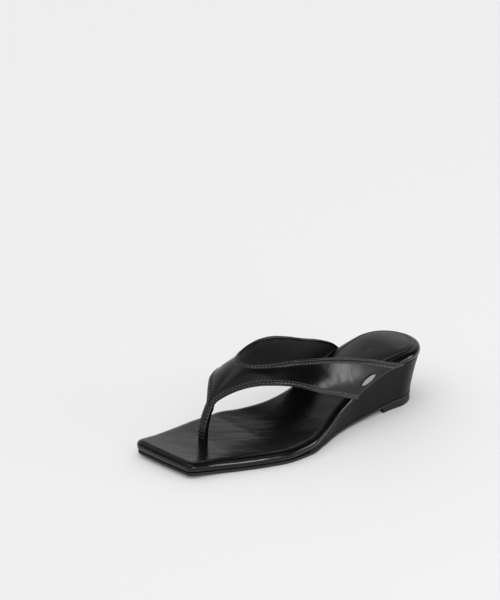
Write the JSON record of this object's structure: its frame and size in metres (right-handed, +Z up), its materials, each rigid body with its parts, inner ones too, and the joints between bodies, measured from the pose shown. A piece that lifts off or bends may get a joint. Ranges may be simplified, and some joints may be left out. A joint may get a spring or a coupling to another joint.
{
  "type": "wedge thong sandal",
  "caption": "Left flip-flop sandal with a wide leather thong strap, a square slanted toe and a low wedge heel with a padded heel seat.",
  "frame": {"origin": "middle of the sandal's box in plan, on the floor", "axes": "-Y towards the toe, +X towards the outer side of the foot, +Z up"},
  "size_m": [0.0954, 0.2501, 0.0672],
  "materials": {
    "outsole_rubber": "matt black sheet rubber",
    "lift_rubber": "matt black solid rubber",
    "wedge_leather": "satin black leather cover",
    "footbed_leather": "glossy black leather with fine creases",
    "pad_leather": "soft semi-matt black leather",
    "strap_leather": "glossy black leather with stitched folded edges",
    "badge_metal": "brushed silver, dark rim"
  },
  "bodies": {
    "root": {"outsole": "outsole_rubber", "heel_lift": "lift_rubber", "wedge": "wedge_leather", "footbed": "footbed_leather", "heel_pad": "pad_leather", "upper": "strap_leather", "badge": "badge_metal"}
  },
  "joints": []
}
